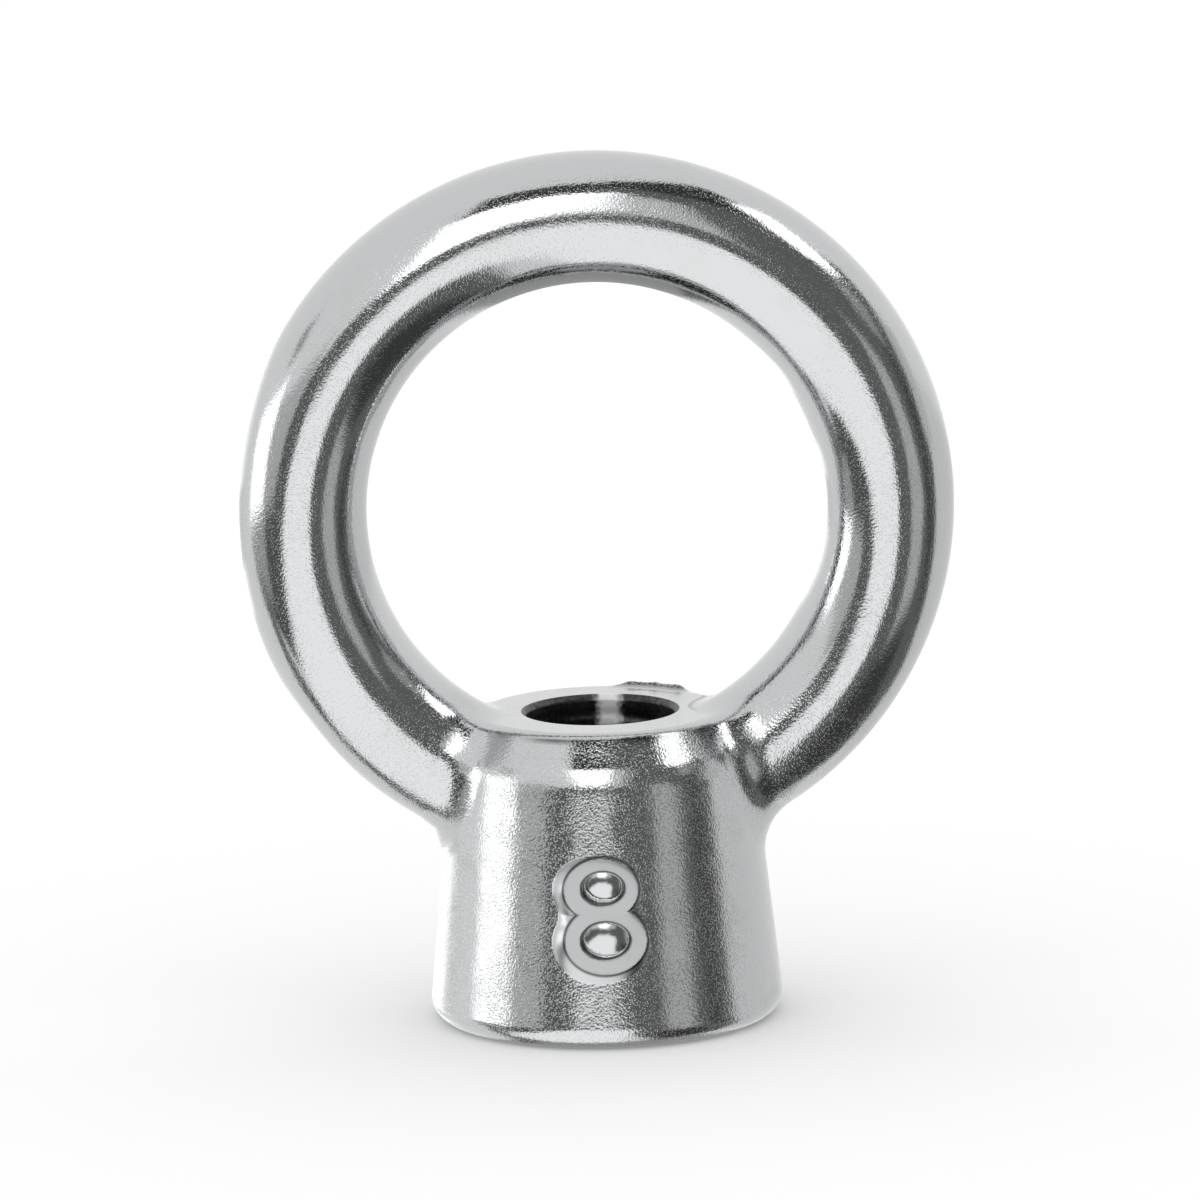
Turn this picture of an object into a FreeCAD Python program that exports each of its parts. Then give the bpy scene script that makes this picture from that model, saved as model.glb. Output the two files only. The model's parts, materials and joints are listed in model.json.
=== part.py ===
import FreeCAD, Part

# Lifting eye nut for an M8 thread, cast in one piece.
# Millimetres, +Z up. The origin is the centre of the flat base face that seats on
# the load. The eye stands in the XZ plane, and -Y is the front.

import math
import os

from FreeCAD import Vector

# Eye: a round bar closed into a ring.
eye_inner_d = 20.7
bar_d = 5.95
# How far the inside of the ring dips below the top face of the hub.
eye_sink = 1.0

# Hub: a round boss that flares towards its base.
hub_h = 14.1
base_d = 16.05
base_edge_r = 0.95
# Shoulder, where the wall gives way to the slope round the top face.
shoulder_d = 13.7
shoulder_edge_r = 2.6
slope_width = 1.2
slope_h = 1.85
# Largest share of the slope that the shoulder's rounding may take.
slope_limit = 0.45

# Blend where each leg of the eye runs into the hub.
blend_r = 2.6
# Largest share of the bar that the blend may take.
blend_limit = 0.45

# Through thread, as its plain minor bore.
thread_d = 8.0
thread_pitch = 1.25
# Depth of the basic internal thread on the diameter, for each millimetre of pitch.
thread_depth_factor = 1.0825
top_mouth_width = 0.25
seat_mouth_width = 0.85

# Sizes that follow from those above.
bar_r = bar_d / 2
eye_r = (eye_inner_d + bar_d) / 2
eye_centre_z = hub_h - eye_sink + eye_inner_d / 2
base_r = base_d / 2
shoulder_r = shoulder_d / 2
shoulder_z = hub_h - slope_h
face_r = shoulder_r - slope_width
bore_r = (thread_d - thread_depth_factor * thread_pitch) / 2

x_axis = Vector(1, 0, 0)
y_axis = Vector(0, 1, 0)
z_axis = Vector(0, 0, 1)
centre = Vector(0, 0, 0)
full_turn = 360
quarter_turn = 90

# Two radii closer than this are the same radius.
same_size = 1e-6


def in_profile(r, z):
    """A point of the hub's half section, r from the axis and z above the base."""
    return Vector(0, r, z)


def line(start, end):
    return Part.LineSegment(start, end).toShape()


def shoulder_rounding(start, corner, end):
    """First, middle and last point of the arc that rounds the corner between two lines."""
    up = (corner - start).normalize()
    inwards = (end - corner).normalize()
    half_turn = up.getAngle(inwards) / 2
    room = slope_limit * (end - corner).Length
    reach = min(shoulder_edge_r * math.tan(half_turn), room)
    radius = reach / math.tan(half_turn)
    to_centre = (inwards - up).normalize()
    middle = corner + to_centre * (radius / math.cos(half_turn) - radius)
    return corner - up * reach, middle, corner + inwards * reach


def hub():
    """The boss without its bore, one closed half section turned about Z."""
    # The base edge is a quarter round between the seat and the wall.
    round_start = in_profile(base_r - base_edge_r, 0)
    diagonal = base_edge_r * math.sqrt(0.5)
    round_middle = in_profile(base_r - base_edge_r + diagonal, base_edge_r - diagonal)
    round_end = in_profile(base_r, base_edge_r)

    shoulder = in_profile(shoulder_r, shoulder_z)
    face_edge = in_profile(face_r, hub_h)
    arc_start, arc_middle, arc_end = shoulder_rounding(round_end, shoulder, face_edge)
    axis_top = in_profile(0, hub_h)
    axis_foot = in_profile(0, 0)
    half_section = Part.Wire([
        line(axis_foot, round_start),
        Part.Arc(round_start, round_middle, round_end).toShape(),
        line(round_end, arc_start),
        Part.Arc(arc_start, arc_middle, arc_end).toShape(),
        line(arc_end, face_edge),
        line(face_edge, axis_top),
        line(axis_top, axis_foot),
    ])
    return Part.Face(half_section).revolve(centre, z_axis, full_turn)


def eye():
    """The ring, a torus that stands in the XZ plane, with its seam down in the hub."""
    ring = Part.makeTorus(eye_r, bar_r)
    ring.rotate(centre, x_axis, quarter_turn)
    ring.rotate(centre, y_axis, quarter_turn)
    ring.translate(Vector(0, 0, eye_centre_z))
    return ring


def is_eye_face(face):
    surface = face.Surface
    return isinstance(surface, Part.Toroid) and abs(surface.MajorRadius - eye_r) < same_size


def root_edges(body):
    """The edges where the legs of the eye meet the hub."""
    edges = []
    for edge in body.Edges:
        sides = [is_eye_face(face) for face in body.ancestorsOfType(edge, Part.Face)]
        if True in sides and False in sides:
            edges.append(edge)
    return edges


def blended_body():
    """Hub and eye as one casting, with a round blend all the way about each leg."""
    body = hub().fuse(eye())
    radius = min(blend_r, blend_limit * bar_d)
    return body.makeFillet(radius, root_edges(body))


def mouth(z, outwards, width):
    """A 45 degree cone that opens the bore at one face, with its tip inside."""
    reach = bore_r + width
    tip_z = z - outwards * reach
    height = 2 * reach
    return Part.makeCone(0, height, height, Vector(0, 0, tip_z), outwards * z_axis)


def bore():
    """The through hole of the thread with a countersunk mouth at each end."""
    hole = Part.makeCylinder(bore_r, hub_h + 2 * bore_r, Vector(0, 0, -bore_r))
    top = mouth(hub_h, 1, top_mouth_width)
    seat = mouth(0, -1, seat_mouth_width)
    return hole.fuse([top, seat])


def eye_nut():
    return blended_body().cut(bore())


os.makedirs("parts", exist_ok=True)
eye_nut().exportStep("parts/eye_nut.step")
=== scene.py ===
import json
from collections import namedtuple

import bpy
import numpy as np
from bpy.props import FloatProperty, FloatVectorProperty, PointerProperty
from mathutils import Matrix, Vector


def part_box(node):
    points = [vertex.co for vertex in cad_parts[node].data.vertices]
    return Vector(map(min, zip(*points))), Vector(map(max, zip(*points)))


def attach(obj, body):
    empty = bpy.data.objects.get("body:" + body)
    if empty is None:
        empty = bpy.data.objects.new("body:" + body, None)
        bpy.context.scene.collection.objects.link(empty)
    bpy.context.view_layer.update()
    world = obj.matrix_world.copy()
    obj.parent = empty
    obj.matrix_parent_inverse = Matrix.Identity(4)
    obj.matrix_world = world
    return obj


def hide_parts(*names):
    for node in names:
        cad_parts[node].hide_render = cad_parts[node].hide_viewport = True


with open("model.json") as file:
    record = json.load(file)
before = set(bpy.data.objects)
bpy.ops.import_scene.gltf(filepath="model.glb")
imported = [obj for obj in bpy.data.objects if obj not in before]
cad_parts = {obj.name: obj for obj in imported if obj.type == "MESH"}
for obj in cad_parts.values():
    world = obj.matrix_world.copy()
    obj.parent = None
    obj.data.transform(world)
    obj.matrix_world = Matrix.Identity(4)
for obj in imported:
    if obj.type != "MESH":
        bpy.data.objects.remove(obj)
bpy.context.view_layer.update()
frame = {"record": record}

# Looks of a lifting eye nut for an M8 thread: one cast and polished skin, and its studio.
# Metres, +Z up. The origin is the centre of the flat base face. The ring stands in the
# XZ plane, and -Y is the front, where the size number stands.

bl_info = {
    "name": "Lifting Eye Nut",
    "version": (1, 0, 0),
    "blender": (4, 5, 0),
    "location": "3D View > Sidebar > Eye Nut",
    "description": "Builds the skin of a polished lifting eye nut and the studio round it",
    "category": "Mesh",
}

MM = 0.001
NODE = "eye_nut"
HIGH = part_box(NODE)[1]
MOUNTS = {mount["name"]: mount for mount in frame["record"]["mounts"]}

# Sizes that the frame gives.
BASE_R = HIGH.y
RING_OUTER_R = HIGH.x
EYE_Z = HIGH.z - RING_OUTER_R
BORE_R = MOUNTS["thread"]["dims"]["r_mm"] * MM

FULL_TURN = 2 * np.pi
FRONT = -np.pi / 2
# The mesh's own record of its surface at each point: painted shade, how rubbed and how rough.
STATE = "state"
UNMARKED = (0.0, 0.0, 0.0)
# How rough the number's foot and its face are on the record's scale, on which the ridge is 1,
# and the share of the face's height at which it is full.
NUMBER_DULL = (0.09, 0.3)
NUMBER_DULL_FROM = 0.2


def length(name, description, millimetres):
    """A length property, written in millimetres and kept in metres."""
    return FloatProperty(
        name=name,
        description=description,
        default=millimetres * MM,
        min=0.0,
        precision=5,
        unit="LENGTH",
    )


def oval(name, description, across, up, half_width, half_height):
    """An upright ellipse on the number's face as one property, written in millimetres."""
    return FloatVectorProperty(
        name=name,
        description=description,
        size=4,
        default=[value * MM for value in (across, up, half_width, half_height)],
        precision=5,
        unit="LENGTH",
    )


def share(name, description, value):
    """A property from 0 to 1."""
    return FloatProperty(
        name=name, description=description, default=value, min=0.0, max=1.0, subtype="FACTOR"
    )


def colour(name, description, value):
    """A colour property in linear red, green and blue."""
    return FloatVectorProperty(
        name=name, description=description, default=value, size=3, min=0.0, max=1.0, subtype="COLOR"
    )


class EyeNutSizes(bpy.types.PropertyGroup):
    """Sizes of the ring, the hub and the blends between them."""

    bar_d: length("Bar diameter", "Thickness of the round bar that makes the ring", 5.95)
    hub_h: length("Hub height", "From the seat to the top face", 14.1)
    shoulder_d: length("Shoulder diameter", "Hub's diameter where its wall meets the slope", 13.7)
    slope_width: length("Slope width", "How far the slope round the top face leads inwards", 1.2)
    slope_h: length("Slope height", "From the shoulder to the top face", 1.85)
    blend_r: length("Root blend", "Radius of the blend where each leg runs into the hub", 2.6)
    base_edge_r: length("Base edge", "Radius of the rounded base edge", 0.95)
    shoulder_r: length("Shoulder rounding", "Radius between the wall and the slope", 2.6)
    face_edge_r: length("Face rounding", "Polished radius between the slope and the top face", 0.6)
    ridge_h: length("Ridge height", "Height of the uneven ridge on the rim behind the bore", 0.24)
    ridge_half: length("Ridge half width", "How far the ridge reaches to each side of the rim", 0.75)
    # Width of the painted shade line under the rim of the top face.
    rim_line: length("Rim line", "Width of the dark line under the rim of the top face", 0.07)
    mouth_edge_r: length("Mouth rounding", "Broken edge of the bore's mouths", 0.09)
    top_mouth: length("Top mouth", "Width of the countersink in the top face", 0.25)
    seat_mouth: length("Seat mouth", "Width of the countersink in the seat", 0.85)


class ThreadSizes(bpy.types.PropertyGroup):
    """Sizes of the internal thread."""

    nominal_d: length("Thread diameter", "Diameter at the thread's root", 8.0)
    pitch: length("Pitch", "Distance from one crest to the next", 1.25)
    run_out: length("Run-out", "Length at the top over which the thread fades", 1.9)
    crest_share: share("Crest share", "Part of the pitch that the flat crest takes", 0.25)
    root_share: share("Root share", "Part of the pitch that the flat root takes", 0.125)


class NumberSizes(bpy.types.PropertyGroup):
    """Sizes of the raised size number on the front of the hub.

    Each oval is given by its middle, across and above the seat, and by its half width and height.
    """

    relief: length("Relief", "How far the flat face stands out where it is measured", 0.25)
    relief_z: length("Relief height", "Height above the seat where the relief is measured", 6.0)
    lean: share("Lean", "How far the face leans back for each unit of height", 0.04)
    upper_face: oval("Upper face", "Outer edge of the upper loop's face", -0.40, 7.39, 1.68, 1.39)
    lower_face: oval("Lower face", "Outer edge of the lower loop's face", -0.235, 5.09, 1.85, 1.55)
    upper_hole: oval("Upper hole", "Inner edge of the upper loop", -0.32, 7.46, 1.03, 0.82)
    lower_hole: oval("Lower hole", "Inner edge of the lower loop", -0.246, 5.09, 1.165, 0.91)
    upper_foot: oval("Upper foot", "Where the upper loop's sides meet the wall", -0.7, 7.27, 2.18, 1.6)
    lower_foot: oval("Lower foot", "Where the lower loop's sides meet the wall", -0.54, 4.9, 2.35, 1.84)
    waist_foot: oval("Waist foot", "Where the waist's left side meets the wall", -1.1, 6.12, 1.45, 1.2)
    foot_join: length("Foot join", "How softly the three feet run into each other", 0.08)
    draft: length("Hole draft", "Width of the sloping side inside each loop", 0.14)
    dome: length("Dome height", "How far the metal inside each loop bulges", 0.2)
    dome_right: share("Dome shift right", "How far to the right each bulge stands in its hole", 0.1)
    dome_up: share("Dome shift up", "How far up each bulge stands in its hole", 0.3)
    # Width of the painted shade lines along the edges of the face and the holes, and of the rubbing's
    # fade.
    edge_line: length("Edge line", "Width of the dark line along the edges of the face", 0.065)


class SteelFinish(bpy.types.PropertyGroup):
    """Colour and finish of the metal, with the colours of its painted shade and painted highlight."""

    tint: colour("Steel colour", "Colour of the polished metal", (0.545, 0.557, 0.562))
    stain: colour("Stain colour", "Colour of the faint film in the hollows", (0.43, 0.415, 0.40))
    # Painted shade: this near black colour darkens sharp edges and creases; it also colours the black
    # spots on the ridge and the darker grain in the bore.
    shade_and_grime: colour("Grime colour", "Colour of the dirt along sharp edges", (0.035, 0.034, 0.033))
    # Painted shade: the bore's near black colour stands in for the shade inside the hole.
    painted_bore_shade: colour("Bore colour", "Colour of the dull metal in the bore", (0.10, 0.097, 0.093))
    # A painted highlight: the colour of the bright streak painted on the bore's back wall.
    painted_streak_highlight: colour("Bright streak colour", "Colour of the bore's streak", (0.95, 0.95, 0.95))
    ring_film: share("Ring film", "How strongly the film colours the ring", 0.10)
    hub_film: share("Hub film", "How strongly the film colours the hub", 0.35)
    film_size: length("Film size", "Width of the patches of film", 3.1)
    polish: share("Ring roughness", "Roughness of the polished ring", 0.05)
    satin: share("Hub roughness", "Roughness of the duller hub", 0.05)
    cut: share("Bore roughness", "Roughness of the cut thread", 0.3)
    grain_size: length("Grain size", "Width of the fine grain left by the casting", 0.11)
    ring_grain: length("Ring grain depth", "Depth of the fine grain on the ring", 0.0045)
    hub_grain: length("Hub grain depth", "Depth of the fine grain on the hub", 0.0095)
    patch_size: length("Patch size", "Width of the patches in which the grain is deeper", 1.7)
    speck_size: length("Speck size", "Width of the specks between the grain", 0.075)
    speck_share: share("Speck share", "Depth of the specks as a share of the grain's depth", 0.4)
    ring_speck: share("Ring speck roughness", "How much duller the specks are on the ring", 0.06)
    hub_speck: share("Hub speck roughness", "How much duller the specks are on the hub", 0.22)
    ripple_size: length("Ripple size", "Width of the slow waves left by polishing", 2.4)
    ripple_depth: length("Ripple depth", "Depth of the slow waves left by polishing", 0.012)
    cut_grain_size: length("Bore grain size", "Width of the grain in the bore", 0.2)
    cut_grain: length("Bore grain depth", "Depth of the grain in the bore", 0.003)
    tool_pitch: length("Tool mark pitch", "Distance between the rings left by the tool", 0.12)
    tool_depth: length("Tool mark depth", "Depth of the rings left by the tool", 0.0012)
    # Place and half width of the painted highlight streak in the bore.
    streak_x: length("Streak place", "How far right of the middle the bore's streak stands", 0.5)
    streak_half: length("Streak half width", "Half the width of the bright streak in the bore", 0.5)


class Parts:
    """Collects grids of points into one mesh, as whole arrays."""

    def __init__(self):
        self.grids = []
        self.faces = []
        self.count = 0

    def add(self, points, normals, state=UNMARKED):
        """Stores a grid of points (rows, columns, 3) and returns the grid of their numbers."""
        numbers = np.arange(self.count, self.count + points[..., 0].size)
        grids = (points, normals, np.broadcast_to(state, points.shape))
        self.grids.append([grid.reshape(-1, 3) for grid in grids])
        self.count += numbers.size
        return numbers.reshape(points.shape[:-1])

    def quads(self, numbers, closed=False, kind=0, keep=None):
        """Four-sided faces between neighbouring numbers of a grid, one for each kept cell."""
        if closed:
            numbers = np.concatenate([numbers, numbers[:, :1]], axis=1)
        corners = (numbers[:-1, :-1], numbers[:-1, 1:], numbers[1:, 1:], numbers[1:, :-1])
        faces = np.stack(corners, axis=-1)
        faces = faces.reshape(-1, 4) if keep is None else faces[keep]
        self.faces.append((faces, np.full(len(faces), kind)))

    def mesh(self, name):
        """The finished mesh. A face whose order runs against its corners' normals is turned round."""
        points, normals, states = (np.concatenate(grids) for grids in zip(*self.grids))
        faces, kinds = (np.concatenate(values) for values in zip(*self.faces))
        normals = unit(normals)
        corners = points[faces]
        across = np.cross(corners[:, 2] - corners[:, 0], corners[:, 3] - corners[:, 1])
        inwards = np.einsum("ij,ij->i", across, normals[faces].sum(axis=1)) < 0
        faces[inwards] = faces[inwards][:, ::-1]
        used = np.unique(faces)
        renumber = np.zeros(len(points), int)
        renumber[used] = np.arange(len(used))
        mesh = bpy.data.meshes.new(name)
        mesh.from_pydata(points[used], [], renumber[faces])
        mesh.polygons.foreach_set("material_index", kinds.astype(np.int32))
        mesh.polygons.foreach_set("use_smooth", np.ones(len(faces), bool))
        mesh.normals_split_custom_set_from_vertices(normals[used])
        record = mesh.attributes.new(STATE, "FLOAT_VECTOR", "POINT")
        record.data.foreach_set("vector", states[used].ravel().astype(np.float32))
        return mesh


def unit(vectors):
    """Each vector divided by its own length."""
    return vectors / np.linalg.norm(vectors, axis=-1, keepdims=True)


def smooth_step(low, high, value):
    """0 below low, 1 above high, and the cubic 3t^2 - 2t^3 between them."""
    t = np.clip((value - low) / (high - low), 0.0, 1.0)
    return t * t * (3.0 - 2.0 * t)


def rise_and_fall(ends, value):
    """0 before the first of four ends, 1 between the second and third, and 0 past the last."""
    start, full, fades, end = ends
    return smooth_step(start, full, value) * (1.0 - smooth_step(fades, end, value))


def wrapped(angle):
    """The same angle between minus half a turn and half a turn."""
    return (angle + np.pi) % FULL_TURN - np.pi


class Outline:
    """A half section as a line through corners, each rounded by its own arc.

    A place along it is its distance from the start. The line runs outwards along the seat,
    up the wall and inwards along the top face, so its right-hand side is outside the metal.
    """

    STEP = 0.01 * MM

    def __init__(self, corners, radii):
        corners = np.array(corners)
        points = []
        normals = []
        self.marks = [0.0]
        start = corners[0]
        for i in range(1, len(corners)):
            along = unit(corners[i] - corners[i - 1])
            outwards = np.array([along[1], -along[0]])
            if i < len(corners) - 1:
                onwards = unit(corners[i + 1] - corners[i])
                turn = np.arccos(np.clip(along @ onwards, -1.0, 1.0))
            else:
                turn = 0.0
            radius = radii[i]
            end = corners[i] - along * radius * np.tan(turn / 2)
            run = np.linalg.norm(end - start)
            t = np.arange(0.0, run, self.STEP)
            points.append(start + along * t[:, None])
            normals.append(np.tile(outwards, (len(t), 1)))
            self.marks.append(self.marks[-1] + run)
            if turn:
                angle = np.arange(0.0, turn, self.STEP / radius)[:, None]
                spoke = np.cos(angle) * outwards + np.sin(angle) * along
                centre = end - outwards * radius
                points.append(centre + spoke * radius)
                normals.append(spoke)
                self.marks.append(self.marks[-1] + radius * turn)
                start = centre + (np.cos(turn) * outwards + np.sin(turn) * along) * radius
        points.append(corners[-1:])
        normals.append(outwards[None])
        self.points = np.concatenate(points)
        self.normals = np.concatenate(normals)
        steps = np.linalg.norm(np.diff(self.points, axis=0), axis=1)
        self.places = np.concatenate([[0.0], np.cumsum(steps)])

    def at(self, place):
        """Radius, height and the two parts of the normal at each place."""
        table = np.concatenate([self.points, self.normals], axis=1)
        return [np.interp(place, self.places, column) for column in table.T]

    def nearest(self, radius, z):
        """Distance to the line, positive outside, and the place of its nearest point.

        The distance is the offset from the nearest known point along that point's normal, and
        the rest of the offset moves the place along the line.
        """
        apart = np.hypot(self.points[:, 0] - radius[:, None], self.points[:, 1] - z[:, None])
        index = apart.argmin(axis=1)
        offset = np.stack([radius, z], axis=-1) - self.points[index]
        normal = self.normals[index]
        beside = offset[:, 1] * normal[:, 0] - offset[:, 0] * normal[:, 1]
        return (offset * normal).sum(axis=1), self.places[index] + beside

    def place_of_height(self, z):
        """The place on the wall at this height."""
        wall = slice(*np.searchsorted(self.places, self.marks[WALL_START : WALL_START + 2]))
        return float(np.interp(z, self.points[wall, 1], self.places[wall]))


# Which of the outline's marks begin its stretches.
SEAT_START = 2
BASE_EDGE_START = 3
WALL_START = 4
SHOULDER_START = 5
SLOPE_START = 6
FACE_EDGE_START = 7
TOP_START = 8
MOUTH_EDGE_START = 9
MOUTH_START = 10

# Spacing of the skin's rows and columns, and how many of them cross a stretch.
WALL_STEP = 0.3 * MM
NUMBER_STEP = 0.06 * MM
THREAD_STEP = 0.15 * MM
ARC_ROWS = {BASE_EDGE_START: 9, SHOULDER_START: 8, FACE_EDGE_START: 6, MOUTH_EDGE_START: 2}
PORT_COLUMNS = 36
BACK_COLUMNS = 40
FRONT_COLUMNS = 22
PATCH_ROWS = 7
BLEND_ROWS = 13
RING_ROWS = 132
# Where the grid is fine for the number: angles from the front, and heights.
NUMBER_TURNS = (np.radians(-21.4), np.radians(14.6))
NUMBER_Z = (2.95 * MM, 8.95 * MM)
# The port left open for each leg: half its angle, its lowest height and its radius on top.
PORT_HALF = np.radians(40.0)
PORT_BELOW = 6.75 * MM
PORT_TOP_R = 3.71 * MM
# Where each leg meets the hub, in angles along the ring, how often that range is halved to
# find it, how many points go round the leg, and over how many of them they are evened out.
LEG_SEARCH = np.radians([8.0, 80.0])
HALVINGS = 36
CONTACTS = 720
EVEN_WIDTH = 14
EVEN_REACH = 3 * EVEN_WIDTH
# Where the ridge behind the bore starts, is full, fades and ends, from the +X leg, and its
# waves: the share of its height, how many there are in a turn and where they start.
RIDGE_ANGLES = np.radians([39.5, 47.0, 72.0, 84.0])
RIDGE_WAVES = ((0.09, 31.0, 0.0), (0.07, 53.0, 2.0))
# Painted shade at the ridge's inner foot: how dark, and the share of the ridge's height at which it is
# full.
RIDGE_SHADE = 0.8
RIDGE_SHADE_FROM = 1.0 / 3.0
# Painted shade in the corner behind the foot of the +X leg: where it starts, is full, fades
# and ends, in angles round the bar, how dark it is, and its middle and width as shares of the blend.
ROOT_TUBE = np.radians([125.0, 140.0, 175.0, 200.0])
ROOT_SHADE = 0.7
ROOT_SHADE_MIDDLE = 0.1
ROOT_SHADE_WIDTH = 0.1
# Painted shade under the front rim: how dark, the angles from the front at which it ends and is
# full, and its waves: their mean and swing, how many there are in a turn and where they start.
RIM_SHADE = 0.85
RIM_SHADE_ENDS = np.radians([62.0, 50.0])
RIM_SHADE_WAVES = (0.55, 0.45, 9.0, -1.2)
# A step small enough for a slope, and a number that keeps a divisor above zero.
NUDGE = 0.004 * MM
TINY = 1e-9


def hub_outline(sizes):
    """The hub's half section, from the seat's mouth round the outside to the top mouth."""
    mouth_r = BORE_R + sizes.seat_mouth
    top_mouth_r = BORE_R + sizes.top_mouth
    face_r = sizes.shoulder_d / 2 - sizes.slope_width
    shoulder_z = sizes.hub_h - sizes.slope_h
    flare = (BASE_R - sizes.shoulder_d / 2) / (shoulder_z - sizes.base_edge_r)
    seat_dip = 0.15 * MM
    corners = [
        (mouth_r - seat_dip, seat_dip),
        (mouth_r, 0.0),
        (BASE_R + flare * sizes.base_edge_r, 0.0),
        (sizes.shoulder_d / 2, shoulder_z),
        (face_r, sizes.hub_h),
        (top_mouth_r, sizes.hub_h),
        (top_mouth_r - seat_dip, sizes.hub_h - seat_dip),
    ]
    mouth_edge = sizes.mouth_edge_r
    radii = [0, mouth_edge, sizes.base_edge_r, sizes.shoulder_r, sizes.face_edge_r, mouth_edge, 0]
    return Outline(corners, radii)


def spaced(*spans):
    """Values from span to span, each (start, end, largest step), with every end used once."""
    runs = [
        np.linspace(start, end, max(1, int(np.ceil(abs(end - start) / step))), endpoint=False)
        for start, end, step in spans
    ]
    return np.concatenate(runs + [[spans[-1][1]]])


def hub_places(outline):
    """The rows of the hub's grid: places along the outline, closest over the number."""
    marks = outline.marks
    low, high = (outline.place_of_height(z) for z in NUMBER_Z)
    return spaced(
        (marks[0], marks[1], WALL_STEP),
        (marks[1], marks[SEAT_START], WALL_STEP / 4),
        (marks[SEAT_START], marks[BASE_EDGE_START], 3 * WALL_STEP),
        arc_span(marks, BASE_EDGE_START),
        (marks[WALL_START], low, WALL_STEP),
        (low, high, NUMBER_STEP),
        (high, marks[SHOULDER_START], WALL_STEP),
        arc_span(marks, SHOULDER_START),
        (marks[SLOPE_START], marks[FACE_EDGE_START], WALL_STEP),
        arc_span(marks, FACE_EDGE_START),
        (marks[TOP_START], marks[MOUTH_EDGE_START], WALL_STEP * 2 / 3),
        arc_span(marks, MOUTH_EDGE_START),
        (marks[MOUTH_START], marks[-1], WALL_STEP),
    )


def arc_span(marks, index):
    """A rounded edge as one span with its own number of rows."""
    start, end = marks[index], marks[index + 1]
    return start, end, (end - start) / ARC_ROWS[index]


def hub_angles():
    """The columns of the hub's grid, counted from the middle of the +X leg's port."""
    start, end = (FRONT + FULL_TURN + turn for turn in NUMBER_TURNS)
    gap = np.pi - 2 * PORT_HALF
    port_step = 2 * PORT_HALF / PORT_COLUMNS
    angles = spaced(
        (-PORT_HALF, PORT_HALF, port_step),
        (PORT_HALF, np.pi - PORT_HALF, gap / BACK_COLUMNS),
        (np.pi - PORT_HALF, np.pi + PORT_HALF, port_step),
        (np.pi + PORT_HALF, start, gap / FRONT_COLUMNS),
        (start, end, NUMBER_STEP / BASE_R),
        (end, FULL_TURN - PORT_HALF, gap / FRONT_COLUMNS),
    )
    return angles[:-1]


def beside(x, z, ellipse):
    """Distance from an ellipse's line, positive outside: k(k - 1)/g, where k is the length of the
    point divided by the half axes, and g its length divided by their squares."""
    middle_x, middle_z, wide, tall = ellipse
    x = x - middle_x
    z = z - middle_z
    k = np.hypot(x / wide, z / tall)
    g = np.hypot(x / wide**2, z / tall**2) + TINY
    return k * (k - 1.0) / g


def number_form(x, z, number):
    """The size number, an 8, as four shares at each point.

    The first is 1 on the flat face, falls evenly to 0 at the foot of the sides and falls to 0
    inside each loop. The feet are joined by a soft smallest, the logarithm of summed powers of
    e. The second is the bulge inside the loops, 1 - q^2 with q the distance from the bulge's
    middle as a share of the hole. The third is painted shade: 1 just outside the edges of the
    face and just inside the edge of each hole. The fourth is 1 all over the number.
    """
    off_face = np.minimum(beside(x, z, number.upper_face), beside(x, z, number.lower_face))
    feet = (number.upper_foot, number.lower_foot, number.waist_foot)
    joined = np.logaddexp.reduce([-beside(x, z, foot) / number.foot_join for foot in feet])
    inside_foot = joined * number.foot_join
    # Painted shade: a dark line just outside the edges of the face.
    edge_shade = np.exp(-((off_face / number.edge_line - 1.0) ** 2))
    off_face = np.maximum(off_face, 0.0)
    face = np.clip(inside_foot, 0.0, None) / (np.abs(inside_foot) + off_face + NUDGE)
    bulge = 0.0
    for hole in (number.upper_hole, number.lower_hole):
        off_hole = beside(x, z, hole)
        face = face * smooth_step(-number.draft, 0.0, off_hole)
        middle_x, middle_z, wide, tall = hole
        q = np.hypot((x - middle_x) / wide - number.dome_right, (z - middle_z) / tall - number.dome_up)
        inside_hole = smooth_step(0.0, -number.draft, off_hole)
        bulge = bulge + np.clip(1.0 - q * q, 0.0, None) * inside_hole
        # Painted shade: a dark line just inside the edge of each hole.
        edge_shade = np.maximum(edge_shade, np.exp(-((off_hole / number.edge_line + 1.0) ** 2)))
    return face, bulge, edge_shade, smooth_step(0.0, number.edge_line, inside_foot)


def number_place(outline, number, angle, place):
    """Which points may carry the number, how far its face stands from the axis there, and the
    four shares of its form. The face is a plane in front of the hub that leans back a little."""
    radius, z, _, _ = outline.at(place)
    turn = wrapped(angle - FRONT)
    near = (place > outline.marks[WALL_START]) & (place < outline.marks[SHOULDER_START])
    near &= (turn > NUMBER_TURNS[0]) & (turn < NUMBER_TURNS[1])
    wall_there = outline.at(outline.place_of_height(number.relief_z))[0]
    plane = np.minimum(wall_there + number.relief - number.lean * (z - number.relief_z), BASE_R - NUDGE)
    turn = np.where(near, turn, 0.0)
    form = number_form(plane * np.tan(turn), z, number)
    return near, plane / np.cos(turn), form


def rim_ridge(outline, sizes, angle, place):
    """The uneven ridge left on the rim of the top face behind the bore, as a height.

    Across the rim it is a smooth hump, and along it the height wavers as sines of the angle.
    """
    middle = (outline.marks[FACE_EDGE_START] + outline.marks[TOP_START]) / 2
    off_middle = np.abs(place - middle) / sizes.ridge_half
    hump = 1.0 - smooth_step(0.0, 1.0, off_middle)
    along = rise_and_fall(RIDGE_ANGLES, angle)
    waves = (swing * np.sin(count * angle + start) for swing, count, start in RIDGE_WAVES)
    return sizes.ridge_h * hump * along * sum(waves, 1.0)


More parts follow.
